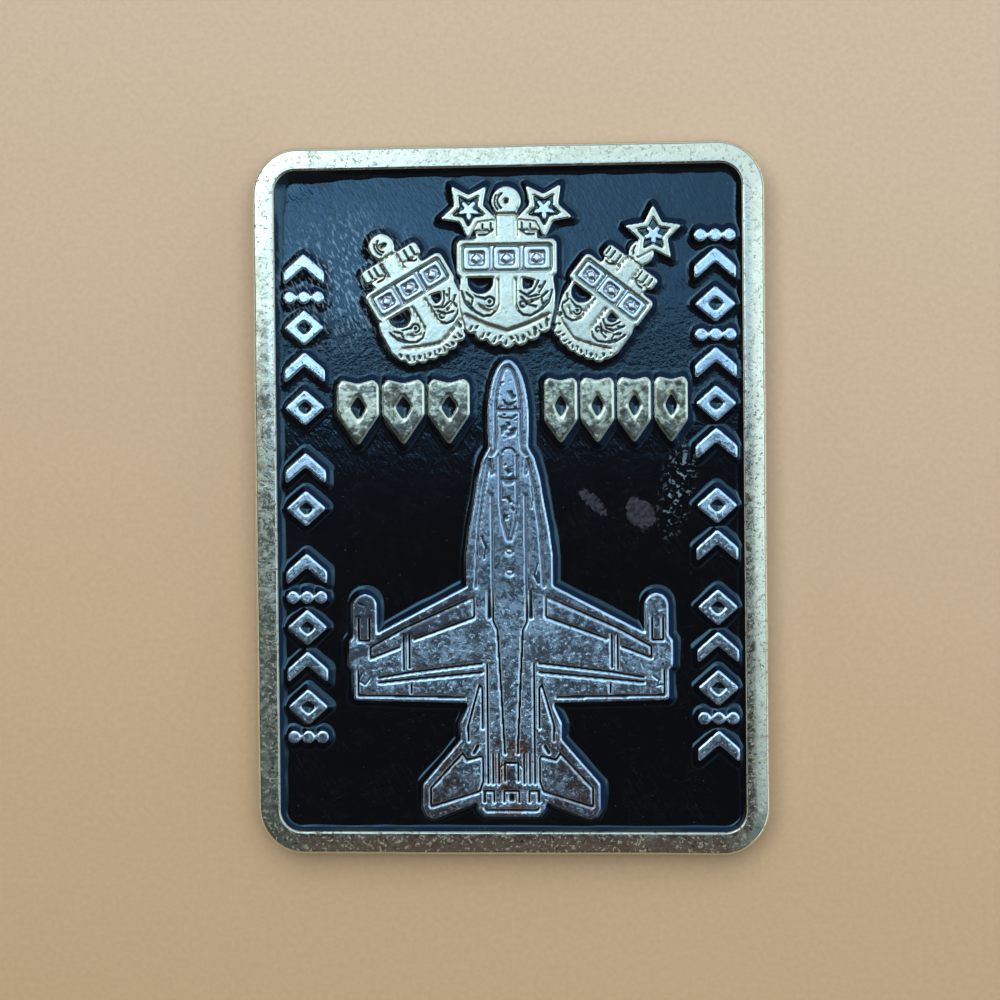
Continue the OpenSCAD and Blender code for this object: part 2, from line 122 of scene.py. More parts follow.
def blur(values, sigma):
    """A Gaussian blur of a grid, sigma in cells."""
    if sigma <= 0:
        return values
    reach = int(math.ceil(3 * sigma))
    kernel = np.exp(-0.5 * (np.arange(-reach, reach + 1) / sigma) ** 2)
    kernel /= kernel.sum()
    for axis in (0, 1):
        padded = np.pad(values, [(reach, reach) if k == axis else (0, 0) for k in (0, 1)], "edge")
        length = values.shape[axis]
        values = sum(weight * np.take(padded, np.arange(k, k + length), axis)
                     for k, weight in enumerate(kernel))
    return values


class Samples:
    """A CAD node's upper surface and the distance to its outline, on a square grid."""

    def __init__(self, name, side, pitch, reach, smoothing=0.07):
        corners, triangles = cad_triangles(name, side)
        up = facing(corners, triangles)
        self.floor = corners[:, 2].min()
        self.crest = corners[:, 2].max()
        self.pitch = pitch
        margin = 3 * pitch + GRID_MARGIN
        self.origin = np.floor((corners[:, :2].min(axis=0) - margin) / pitch) * pitch
        count = np.ceil((corners[:, :2].max(axis=0) + margin - self.origin) / pitch).astype(int) + 1
        x = self.origin[0] + pitch * np.arange(count[0])
        y = self.origin[1] + pitch * np.arange(count[1])
        self.gx, self.gy = np.meshgrid(x, y, indexing="ij")
        top = self.rasterise(corners, triangles[up > FACING_UP])
        inside = np.isfinite(top)
        on_floor = corners[triangles[:, 0], 2] < self.floor + SAME_HEIGHT
        floor_faces = triangles[(up < -FACING_UP) & on_floor]
        away = self.distance(corners[:, :2], outline_of(floor_faces), reach)
        self.depth = blur(np.where(inside, away, -away), smoothing / pitch)
        self.top = np.where(inside, top, 0.0)
        self.inside = inside

    def sunk(self, softening):
        """How far the surface lies under the crest, softened within the outline."""
        weight = blur(self.inside.astype(float), softening / self.pitch)
        mean = blur(self.top, softening / self.pitch) / np.maximum(weight, 1e-3)
        return np.where(weight > 1e-3, self.crest - mean, 0.0)

    def window(self, low, high):
        """The part of the grid over a box."""
        first = np.maximum(np.floor((low - self.origin) / self.pitch).astype(int), 0)
        last = np.ceil((high - self.origin) / self.pitch).astype(int) + 1
        return slice(first[0], last[0]), slice(first[1], last[1])

    def rasterise(self, corners, triangles):
        """The highest of the triangles over each grid point, and -inf beside them."""
        top = np.full(self.gx.shape, -np.inf)
        for a, b, c in corners[triangles]:
            area = (b[0] - a[0]) * (c[1] - a[1]) - (b[1] - a[1]) * (c[0] - a[0])
            if abs(area) < 1e-9:
                continue
            flat = np.array([a, b, c])[:, :2]
            part = self.window(flat.min(axis=0), flat.max(axis=0))
            px, py = self.gx[part] - a[0], self.gy[part] - a[1]
            u = (px * (c[1] - a[1]) - py * (c[0] - a[0])) / area
            v = (py * (b[0] - a[0]) - px * (b[1] - a[1])) / area
            over = (u > -1e-7) & (v > -1e-7) & (u + v < 1 + 1e-7)
            height = a[2] + u * (b[2] - a[2]) + v * (c[2] - a[2])
            top[part] = np.where(over, np.maximum(top[part], height), top[part])
        return top

    def distance(self, points, segments, reach):
        """The distance from each grid point to the nearest segment, up to a reach."""
        away = np.full(self.gx.shape, reach)
        for a, b in points[segments]:
            part = self.window(np.minimum(a, b) - reach, np.maximum(a, b) + reach)
            px, py = self.gx[part] - a[0], self.gy[part] - a[1]
            run = b - a
            t = np.clip((px * run[0] + py * run[1]) / max(run @ run, 1e-12), 0, 1)
            away[part] = np.minimum(away[part], np.hypot(px - t * run[0], py - t * run[1]))
        return away


# -------------------- closed meshes over a grid

MERGE = 8
FLAT_WITHIN = 1e-5
OFF_ENDS = 0.12


def number(flags, start):
    """Consecutive numbers for the true flags, from start, and -1 elsewhere."""
    ids = np.full(flags.shape, -1, dtype=np.int64)
    ids[flags] = start + np.arange(np.count_nonzero(flags))
    return ids


def crossing(first, second):
    """How far along an edge the field is zero, kept off the edge's ends."""
    along = first / np.where(first == second, 1, first - second)
    return np.clip(along, OFF_ENDS, 1 - OFF_ENDS)


def merged_blocks(inside, height):
    """Which blocks of cells are, with two cells round them, wholly inside and flat enough to be
    one face."""
    rows, columns = (inside.shape[0] - 1) // MERGE, (inside.shape[1] - 1) // MERGE
    flat = np.zeros((rows, columns), dtype=bool)
    for i in range(1, rows - 1):
        across = slice(i * MERGE - 2, (i + 1) * MERGE + 3)
        for j in range(1, columns - 1):
            along = slice(j * MERGE - 2, (j + 1) * MERGE + 3)
            if inside[across, along].all():
                block = height[across, along]
                flat[i, j] = block.max() - block.min() < FLAT_WITHIN
    return flat


def block_faces(flat, node):
    """A face for each merged block, with the side points that an unmerged neighbour has."""
    faces = []
    for i, j in np.argwhere(flat):
        x0, y0 = i * MERGE, j * MERGE
        x1, y1 = x0 + MERGE, y0 + MERGE
        face = [node[x0, y0]]
        if not flat[i, j - 1]:
            face += list(node[x0 + 1:x1, y0])
        face.append(node[x1, y0])
        if not flat[i + 1, j]:
            face += list(node[x1, y0 + 1:y1])
        face.append(node[x1, y1])
        if not flat[i, j + 1]:
            face += list(node[x1 - 1:x0:-1, y1])
        face.append(node[x0, y1])
        if not flat[i - 1, j]:
            face += list(node[x0, y1 - 1:y0:-1])
        faces.append(face)
    return faces


def outline_pieces(slots, start, gap):
    """The outline's piece in each cell that runs from slot start to the slot a gap further round."""
    end = (start + gap) % 8
    between = [(start + step) % 8 for step in range(1, gap)]
    from_start, to_end = slots[:, :, start], slots[:, :, end]
    found = (from_start >= 0) & (to_end >= 0) & (slots[:, :, between] < 0).all(axis=2)
    return np.stack([from_start[found], to_end[found]], axis=1)


def closed_mesh(samples, field, height, base, marks):
    """Points, faces and point attributes of the closed solid over the cells where field > 0."""
    inside = field > 0
    cut_x = inside[:-1, :] != inside[1:, :]
    cut_y = inside[:, :-1] != inside[:, 1:]
    node = number(inside, 0)
    on_x = number(cut_x, np.count_nonzero(inside))
    on_y = number(cut_y, np.count_nonzero(inside) + np.count_nonzero(cut_x))

    def gather(values):
        """Values at the inside grid points and at the outline's crossings, in their order."""
        tx = crossing(field[:-1, :], field[1:, :])
        ty = crossing(field[:, :-1], field[:, 1:])
        along_x = values[:-1, :] * (1 - tx) + values[1:, :] * tx
        along_y = values[:, :-1] * (1 - ty) + values[:, 1:] * ty
        return np.concatenate([values[inside], along_x[cut_x], along_y[cut_y]])

    top = np.stack([gather(samples.gx), gather(samples.gy), gather(height)], axis=1)
    count = len(top)
    slots = np.stack([node[:-1, :-1], on_x[:, :-1], node[1:, :-1], on_y[1:, :],
                      node[1:, 1:], on_x[:, 1:], node[:-1, 1:], on_y[:-1, :]], axis=2)
    used = (slots >= 0).any(axis=2)
    outer = np.concatenate([outline_pieces(slots, start, gap)
                            for start in (1, 3, 5, 7) for gap in (2, 4, 6)])
    faces = []
    for level, offset, turn in ((height, 0, 1), (np.zeros_like(height), count, -1)):
        flat = merged_blocks(inside, level)
        covered = np.zeros(used.shape, dtype=bool)
        blocks = np.kron(flat, np.ones((MERGE, MERGE))) > 0
        covered[:blocks.shape[0], :blocks.shape[1]] = blocks
        for row in slots[used & ~covered]:
            faces.append((row[row >= 0] + offset)[::turn])
        for face in block_faces(flat, node):
            faces.append((np.array(face) + offset)[::turn])
    walls = np.stack([outer[:, 0] + count, outer[:, 1] + count, outer[:, 1], outer[:, 0]], axis=1)
    faces.extend(walls)
    bottom = top.copy()
    bottom[:, 2] = base
    points = np.concatenate([top, bottom])
    attributes = {name: np.tile(gather(values), 2) for name, values in marks.items()}
    return points, faces, attributes


def make_piece(name, points, faces, attributes, side, sharp):
    """A Blender object from points in millimetres, turned over when it is on the back."""
    sizes = np.array([len(face) for face in faces])
    loops = np.concatenate(faces)
    kept, loops = np.unique(loops, return_inverse=True)
    points = points[kept].copy()
    starts = np.concatenate([[0], np.cumsum(sizes)[:-1]])
    if side == BACK:
        points[:, 2] *= -1
        loops = np.concatenate([loops[s:s + n][::-1] for s, n in zip(starts, sizes)])
    mesh = bpy.data.meshes.new(name)
    mesh.vertices.add(len(points))
    mesh.vertices.foreach_set("co", (points * MM).ravel())
    mesh.loops.add(len(loops))
    mesh.loops.foreach_set("vertex_index", loops.astype(np.int32).ravel())
    mesh.polygons.add(len(sizes))
    mesh.polygons.foreach_set("loop_start", starts.astype(np.int32))
    mesh.update(calc_edges=True)
    for key, values in attributes.items():
        layer = mesh.attributes.new(key, "FLOAT", "POINT")
        layer.data.foreach_set("value", values[kept].astype(np.float32))
    mesh.shade_smooth()
    mesh.set_sharp_from_angle(angle=math.radians(sharp))
    piece = bpy.data.objects.new(name, mesh)
    bpy.context.scene.collection.objects.link(piece)
    return piece


def fit_out(piece, node, material):
    """Puts a piece in its CAD node's place."""
    piece.data.materials.append(material)
    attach(piece, "root")
    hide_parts(node)


def rounding(depth, width, drop):
    """How far a softly rounded edge has dropped at a depth inside the outline."""
    return drop * np.clip(1 - depth / width, 0, 1) ** 2


# -------------------- struck metal and enamel

DEVICE_PITCH = 0.06
DEVICE_REACH = 0.6
ENGRAVING = 0.22
SHOULDER_BLUR = 0.08
SHOULDER_DROP = 0.04
CORE_DROP = 0.11
LINE_DROP = 0.06
# How strongly the lips beside the engraving get the edge mark, which paints them lighter as a
# highlight.
LIP_WEAR_AND_HIGHLIGHT = 0.5
STEP_STAIN = 0.6
LINES_FROM, LINES_FULL = 0.10, 0.18

ENAMEL_PITCH = 0.09
ENAMEL_REACH = 0.8
ENAMEL_LAP = 0.035
ENAMEL_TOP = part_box("field_enamel")[1][2] / MM
MENISCUS_RISE = 0.22
MENISCUS_W = 0.56
MENISCUS_POWER = 1.4
MENISCUS_WAVE = 0.16
FOOT_MENISCUS = 0.6
FOOT_LOW, FOOT_HIGH = -23.8, -21.0
LOW_SPOT = (-14.6, 22.4)
LOW_SPOT_REACH = (3.2, 1.6)


class Form:
    """The shape of a device's edges and engraving, in millimetres."""

    def __init__(self, edge=0.16, drop=0.05, smoothing=0.07, blurred=0.06, core=(0.5, 0.9)):
        self.edge, self.drop, self.smoothing = edge, drop, smoothing
        self.blurred, self.core = blurred, core


def device(node, material, side, form, details=None, paints=None, steps_only=False):
    """A struck device: soft rounded edges, softened engraving, and any further fine lines.

    Its paints are functions of x and y: where "patina" is above 0 its engraving fades, where
    "dark" is it's darkened, and where "rust" is it's brown. With steps_only its sunk areas stay
    clean, and only the steps round them are dark."""
    s = Samples(node, side, DEVICE_PITCH, DEVICE_REACH, form.smoothing)
    marks = {key: paint(s.gx, s.gy) for key, paint in (paints or {}).items()}
    fine = s.sunk(form.blurred) / ENGRAVING
    shoulder = np.clip(s.sunk(SHOULDER_BLUR) / ENGRAVING, 0, 1)
    core = ease(fine, *form.core) * (1 - marks.get("patina", 0))
    height = s.crest - SHOULDER_DROP * shoulder - CORE_DROP * core
    if steps_only:
        run, rise = np.gradient(fine, DEVICE_PITCH)
        core = STEP_STAIN * ease(np.hypot(run, rise), 2.0, 6.0)
    if details:
        carved = details(s)
        height = height - LINE_DROP * carved
        core = np.maximum(core, carved)
    height = height - rounding(s.depth, form.edge, form.drop)
    # The edge mark: the rounded edge band is painted lighter as wear and painted highlight, and the
    # lips beside the engraving as painted highlight.
    wear_and_highlight = np.clip(1 - s.depth / form.edge, 0, 1)
    lip = ease(shoulder, 0.12, 0.40) * (1 - ease(core, 0.0, 0.5))
    marks.update({"groove": core, "edge": np.maximum(wear_and_highlight, LIP_WEAR_AND_HIGHLIGHT * lip)})
    points, faces, attributes = closed_mesh(s, s.depth, height, s.floor, marks)
    piece = make_piece("visual_" + node, points, faces, attributes, side, sharp=50)
    fit_out(piece, node, material)


def enamel(node, material, side, soft=0.05):
    """A pool of enamel: flat in the middle, and drawn up the metal round it."""
    s = Samples(node, side, ENAMEL_PITCH, ENAMEL_REACH, smoothing=0.06)
    field = s.depth + ENAMEL_LAP
    width = MENISCUS_W * (1 + MENISCUS_WAVE * lattice_noise(s.gx, s.gy, 1.3, 21))
    if side == FRONT:
        off_x = (s.gx - LOW_SPOT[0]) / LOW_SPOT_REACH[0]
        off_y = (s.gy - LOW_SPOT[1]) / LOW_SPOT_REACH[1]
        above_foot = ease(s.gy, FOOT_LOW, FOOT_HIGH)
        width = width * (1 + np.exp(-off_x ** 2 - off_y ** 2))
        width = width * (FOOT_MENISCUS + (1 - FOOT_MENISCUS) * above_foot)
    climb = blur(np.clip(1 - field / width, 0, 1), soft / ENAMEL_PITCH)
    height = s.crest + MENISCUS_RISE * climb ** MENISCUS_POWER
    points, faces, attributes = closed_mesh(s, field, height, s.floor, {})
    piece = make_piece("visual_" + node, points, faces, attributes, side, sharp=60)
    fit_out(piece, node, material)


# -------------------- fine lines of the devices

def arc(x, y, radius, start, end, steps=10):
    """Points along an arc, angles in degrees."""
    turn = np.radians(np.linspace(start, end, steps))
    return [(x + radius * math.cos(a), y + radius * math.sin(a)) for a in turn]


def near_lines(x, y, lines, width):
    """1 on the lines, down to 0 at their edges."""
    away = np.full(x.shape, 2 * width)
    for line in lines:
        for (ax, ay), (bx, by) in zip(line[:-1], line[1:]):
            run, rise = bx - ax, by - ay
            t = ((x - ax) * run + (y - ay) * rise) / max(run * run + rise * rise, 1e-9)
            t = np.clip(t, 0, 1)
            away = np.minimum(away, np.hypot(x - ax - t * run, y - ay - t * rise))
    return 1 - ease(away, 0.25 * width, 0.75 * width)


def mirrored(lines):
    """The lines with their mirror images across x = 0."""
    return lines + [[(-x, y) for x, y in line] for line in lines]


PLAQUE_H = 2.7
STRAND_PITCH = 0.42
STRAND_SLANT = 0.7
ANCHOR_LINE_W = 0.10
JET_LINE_W = 0.11
HEAD_LINES = mirrored([
    [(1.12, 3.42), (1.12, 4.3)],
    [(1.72, 3.42), (1.72, 4.3)],
    [(2.22, 3.5), (2.22, 4.2)],
    [(1.0, 3.35), (1.5, 3.02), (2.0, 3.05)],
]) + [
    arc(0, 5.4, 0.62, 120, 235),
    arc(0, 5.4, 0.84, 150, 225),
]
FOOT_LINES = mirrored([
    [(0.8, -2.4), (1.15, -2.72), (1.7, -2.78), (2.3, -2.45), (2.85, -1.75)],
    [(3.25, -1.0), (3.0, -1.8), (2.5, -2.35)],
    [(2.9, -1.1), (2.45, -1.5), (2.55, -1.95)],
]) + [
    arc(-1.25, -1.75, 0.34, -120, 150),
    [(-1.55, -1.55), (-2.2, -1.35), (-2.75, -0.85)],
    [(0.95, -1.05), (1.6, -1.45), (2.3, -1.3)],
    [(1.0, -1.45), (1.45, -1.95), (2.1, -2.15)],
    [(2.25, -0.35), (1.9, -1.0), (1.5, -1.3)],
    [(2.75, -0.4), (2.3, -1.15)],
    arc(1.15, -1.95, 0.22, 0, 300),
]
EYES = ((-1.25, -1.75, 0.13), (1.78, -1.72, 0.11), (2.35, -0.75, 0.10), (0, 5.4, 0.17))


class Placed:
    """An anchor's own frame: its plaque's foot is the origin, and +Y runs up its shank."""

    def __init__(self, plaque, turn, scale):
        low, high = (np.array(corner[:2]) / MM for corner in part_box(plaque))
        self.turn, self.scale = math.radians(turn), scale
        up = np.array([-math.sin(self.turn), math.cos(self.turn)])
        self.origin = (low + high) / 2 - up * scale * PLAQUE_H / 2

    def local(self, gx, gy):
        """Places on the coin in the anchor's own frame."""
        px, py = gx - self.origin[0], gy - self.origin[1]
        x = (px * math.cos(self.turn) + py * math.sin(self.turn)) / self.scale
        y = (-px * math.sin(self.turn) + py * math.cos(self.turn)) / self.scale
        return x, y


def rope(x, y, depth):
    """Slanting strands along the foot's scalloped edge."""
    below = ease(-y, 1.6 + 0.35 * np.abs(x), 2.0 + 0.35 * np.abs(x))
    band = ease(depth, 0.16, 0.24) * (1 - ease(depth, 0.40, 0.50))
    strand = np.sin(2 * np.pi * (x + STRAND_SLANT * depth * np.sign(x)) / STRAND_PITCH)
    return 0.8 * below * band * ease(strand, 0.35, 0.9)


def anchor_details(plaque, turn, scale):
    """The lines of an anchor's ring, stock, shank, flukes and rope."""
    placed = Placed(plaque, turn, scale)

    def details(s):
        x, y = placed.local(s.gx, s.gy)
        carved = near_lines(x, y, HEAD_LINES + FOOT_LINES, ANCHOR_LINE_W)
        for px, py, radius in EYES:
            away = np.hypot(x - px, y - py)
            carved = np.maximum(carved, 1 - ease(away, 0.6 * radius, 1.2 * radius))
        carved = np.maximum(carved, rope(x, y, s.depth / scale))
        return carved * ease(s.depth, LINES_FROM, LINES_FULL)

    return details


STAR_MIDDLE = 0.52
STAR_ARM = 0.2


def star_points(s):
    """The inlays' points are sunk and dark: a small five-armed middle stays bright."""
    sunk = np.ones(s.gx.shape)
    for star in ("star_centre_left", "star_centre_right", "star_right"):
        x, y = cad_triangles(star, FRONT)[0][:, :2].mean(axis=0)
        away = np.hypot(s.gx - x, s.gy - y)
        turn = np.arctan2(s.gy - y, s.gx - x)
        reach = STAR_MIDDLE + STAR_ARM * np.cos(5 * (turn + math.pi / 2))
        sunk = np.minimum(sunk, ease(away / reach, 0.9, 1.2))
    return sunk


def body_faint(x, y):
    """How faint the aircraft's engraving is: its nose and body are lightly struck."""
    half = 2.2 + 0.16 * np.clip(10 - y, 0, 20)
    return 0.5 * (1 - ease(np.abs(x) - half, -0.3, 0.3)) * ease(y, -8.5, -6.0)


JET_LINES = [
    [(-0.6, 5.9), (0.3, 5.8), (0.55, 6.0)],
    arc(0, 3.2, 0.5, 15, 165),
    [(1.62, 0.9), (1.75, 0.2), (1.6, -0.6)],
    [(-2.0, -2.6), (-1.7, -3.4), (-1.85, -4.2)],
    [(2.0, -4.6), (1.75, -5.4), (2.05, -6.0)],
    [(-10.9, -7.35), (-10.6, -7.5)],
    [(-10.75, -12.4), (-10.95, -12.9), (-10.5, -13.2), (-10.2, -12.8)],
    [(10.2, -12.6), (10.6, -12.9), (10.45, -13.3), (10.9, -13.2)],
    [(-0.75, -19.1), (-0.45, -18.8), (0.45, -18.8), (0.75, -19.1)],
]
# Each pane's foot, head and half width.
PANES = ((4.2, 8.6, 0.62), (1.0, 3.0, 0.5), (-1.6, 0.4, 0.5))


def pits(x, y):
    """Uneven dents in the panes of the canopy and behind it."""
    dented = ease(lattice_noise(x + 0.4 * y, 1.7 * y - 0.5 * x, 0.36, 41), 0.25, 0.55)
    inside = np.zeros(x.shape)
    for foot, head, half in PANES:
        pane = ease(half - np.abs(x), 0.0, 0.1) * ease(y - foot, 0.0, 0.2) * ease(head - y, 0.0, 0.4)
        inside = np.maximum(inside, pane)
    return dented * inside


def jet_details(s):
    """Small engraving on the aircraft's nose, canopy, body and wing tips."""
    lines = near_lines(s.gx, s.gy, JET_LINES, JET_LINE_W)
    carved = np.maximum(0.7 * lines, 0.6 * pits(s.gx, s.gy))
    return carved * ease(s.depth, LINES_FROM, LINES_FULL)


def lower_dark(node, strength):
    """Darkens the lower part of a row of marks."""
    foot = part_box(node)[0][1] / MM

    def dark(x, y):
        return strength * (1 - ease(y - foot + 0.8 * lattice_noise(x, y, 1.1, 31), 0.5, 2.4))

    return dark


def wing_dark(x, y):
    """Where the aircraft is stained: its leading flaps and wing-tip pods, mostly on the left, its
    tail planes, and the cell between its nozzles."""
    out = np.abs(x)
    leading = -6.15 - 0.5 * (out - 3.1)
    trailing = -8.5 - 0.337 * (out - 2.6)
    flap = ease(leading - y, 0.1, 0.35) * ease(y - trailing, -0.05, 0.15) * ease(out, 2.9, 3.2)
    pod = ease(out, 9.6, 9.9) * ease(y, -10.0, -9.7)
    tail = 0.4 * ease(out, 2.4, 3.0) * ease(-y, 16.5, 17.5)
    cell = ease(0.45 - out, 0.0, 0.08) * ease(y, -20.1, -20.0) * ease(-y, 19.2, 19.3)
    side = 0.35 + 0.65 * (x < 0)
    return np.maximum(side * np.maximum(flap, pod), np.maximum(tail, cell))


def tail_rust(x, y):
    """Where brown shows through the aircraft's plating: its tail planes and the plates between."""
    planes = ease(np.abs(x), 2.6, 3.2) * ease(-y, 16.2, 17.2)
    plates = ease(1.3 - np.abs(x), 0.0, 0.2) * ease(-y, 16.4, 16.8)
    return np.maximum(0.7 * planes, 0.9 * plates)


# -------------------- the struck blank

FIELD_LO, FIELD_HI = (np.array(corner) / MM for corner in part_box("field_enamel"))
BLANK_LO, BLANK_HI = (np.array(corner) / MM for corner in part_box("coin_blank"))
BACK_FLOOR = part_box("reverse_field_enamel")[1][2] / MM
OUTER_CORNER = 3.4
FIELD_CORNER = 1.5
INNER_ROUND = 0.2
OUTER_ROUND = 0.3
DOME_FROM = 0.2
DOME_DROP = 0.07
SIDE_STEPS = 150
CORNER_STEPS = 26
MIDDLE = (BLANK_LO[2] + BLANK_HI[2]) / 2


def rounded_ring(half_w, half_h, radius):
    """Points round a rounded rectangle, the same number on each side and corner."""
    centres = ((half_w - radius, -half_h + radius, -90), (half_w - radius, half_h - radius, 0),
               (-half_w + radius, half_h - radius, 90), (-half_w + radius, -half_h + radius, 180))
    ring = []
    for k, (x, y, start) in enumerate(centres):
        turn = np.radians(start + 90 * np.arange(CORNER_STEPS + 1) / CORNER_STEPS)
        bend = np.stack([x + radius * np.cos(turn), y + radius * np.sin(turn)], axis=1)
        next_x, next_y, next_start = centres[(k + 1) % 4]
        angle = math.radians(next_start)
        following = np.array([next_x + radius * math.cos(angle), next_y + radius * math.sin(angle)])
        t = (np.arange(1, SIDE_STEPS) / SIDE_STEPS)[:, None]
        ring += [bend, bend[-1] * (1 - t) + following * t]
    return np.concatenate(ring)


def blank_profile():
    """Rings from the front floor over the border and the side to the back floor: how far each
    lies from the field's outline (0) to the coin's outline (1), and its height."""
    border = (BLANK_HI[0] - BLANK_LO[0] - FIELD_HI[0] + FIELD_LO[0]) / 2
    quarter = np.radians(np.linspace(0, 90, 9))
    rings = [(0.0, FIELD_LO[2]), (0.0, (FIELD_LO[2] + BLANK_HI[2]) / 2)]
    front_z, back_z = BLANK_HI[2], BLANK_LO[2]
    rings += [(INNER_ROUND * (1 - math.cos(a)) / border, front_z - INNER_ROUND * (1 - math.sin(a)))
              for a in quarter]
    inner, outer = INNER_ROUND / border, 1 - OUTER_ROUND / border
    rings += [(u, front_z - DOME_DROP * max(0.0, (u - DOME_FROM) / (outer - DOME_FROM)) ** 2)
              for u in np.linspace(inner, outer, 16)[1:-1]]
    rim_z = front_z - DOME_DROP
    rings += [(1 - OUTER_ROUND * (1 - math.sin(a)) / border, rim_z - OUTER_ROUND * (1 - math.cos(a)))
              for a in quarter]
    rings += [(1.0, z) for z in np.linspace(rim_z - OUTER_ROUND, back_z + OUTER_ROUND, 9)[1:-1]]
    rings += [(1 - OUTER_ROUND * (1 - math.cos(a)) / border, back_z + OUTER_ROUND * (1 - math.sin(a)))
              for a in quarter]
    rings += [(u, back_z) for u in np.linspace(outer, inner, 8)[1:-1]]
    rings += [(INNER_ROUND * (1 - math.sin(a)) / border, back_z + INNER_ROUND * (1 - math.cos(a)))
              for a in quarter]
    rings += [(0.0, (back_z + BACK_FLOOR) / 2), (0.0, BACK_FLOOR)]
    return rings


def wear_blank(points, across):
    """Pulls the border's surface in a little, unevenly, and its outer edge a little more."""
    x, y, z = points.T
    wave = 0.5 + 0.5 * lattice_noise(x, y, 3.1, 11)
    ripple = 0.5 + 0.5 * lattice_noise(x, y, 0.8, 12)
    sink = (0.012 * wave + 0.006 * ripple) * (across > 0.02)
    z = np.where(z > MIDDLE, z - sink, z + sink)
    inward = (across > 0.7) * (0.03 * wave + 0.012 * ripple)
    reach = np.hypot(x, y)
    x, y = x - inward * x / reach, y - inward * y / reach
    return np.stack([x, y, z], axis=1)


def blank(material):
    """The struck metal body: both borders, its side wall and the two sunk floors."""
    inner = rounded_ring(FIELD_HI[0], FIELD_HI[1], FIELD_CORNER)
    outer = rounded_ring(BLANK_HI[0], BLANK_HI[1], OUTER_CORNER)
    profile = blank_profile()
    count = len(inner)
    rings = [np.column_stack([inner * (1 - u) + outer * u, np.full(count, z)]) for u, z in profile]
    across = np.repeat([u for u, z in profile], count)
    points = wear_blank(np.concatenate(rings), across)
    faces = []
    step = np.arange(count)
    after = (step + 1) % count
    for k in range(len(profile) - 1):
        low, high = k * count, (k + 1) * count
        faces += list(np.stack([low + step, high + step, high + after, low + after], axis=1))
    faces.append(step)
    faces.append((len(profile) - 1) * count + step[::-1])
    near_rim = ease(np.abs(points[:, 2] - MIDDLE), 0.95, 1.15)
    # The edge mark on the border's outer rounding paints it lighter: part wear, part painted
    # highlight.
    attributes = {"groove": np.clip(1 - across / 0.06, 0, 1),
                  "edge": np.clip((across - 0.75) / 0.25, 0, 1) * near_rim}
    piece = make_piece("visual_coin_blank", points, faces, attributes, FRONT, sharp=40)
    fit_out(piece, "coin_blank", material)


# -------------------- node trees

class Nodes:
    """Makes and links the nodes of one tree."""

    def __init__(self, tree):
        self.tree = tree

    def plug(self, socket, value):
        """Links a socket to another, or sets it to a constant."""
        if isinstance(value, bpy.types.NodeSocket):
            self.tree.links.new(value, socket)
        else:
            socket.default_value = value

    def node(self, kind, settings=None, **inputs):
        """A node with its settings and its inputs, each a socket or a constant."""
        made = self.tree.nodes.new(kind)
        for key, value in (settings or {}).items():
            setattr(made, key, value)
        for key, value in inputs.items():
            self.plug(made.inputs[key.replace("_", " ")], value)
        return made

    def span(self, value, low, high, start=0.0, end=1.0):
        """Remaps low..high to start..end, smoothly and clamped."""
        made = self.node("ShaderNodeMapRange", {"interpolation_type": "SMOOTHSTEP"}, Value=value,
                         From_Min=low, From_Max=high, To_Min=start, To_Max=end)
        return made.outputs["Result"]

    def maths(self, operation, first, *others):
        """A sum, product or maximum of any number of values, or another operation of two."""
        for other in others:
            made = self.node("ShaderNodeMath", {"operation": operation})
            self.plug(made.inputs[0], first)
            self.plug(made.inputs[1], other)
            first = made.outputs[0]
        return first

    def times(self, *values):
        return self.maths("MULTIPLY", *values)

    def most(self, *values):
        return self.maths("MAXIMUM", *values)

    def mix(self, factor, first, second, blend="MIX"):
        """One colour blended over another."""
        made = self.node("ShaderNodeMix", {"data_type": "RGBA", "blend_type": blend})
        self.plug(made.inputs["Factor"], factor)
        self.plug(made.inputs[6], first)
        self.plug(made.inputs[7], second)
        return made.outputs[2]


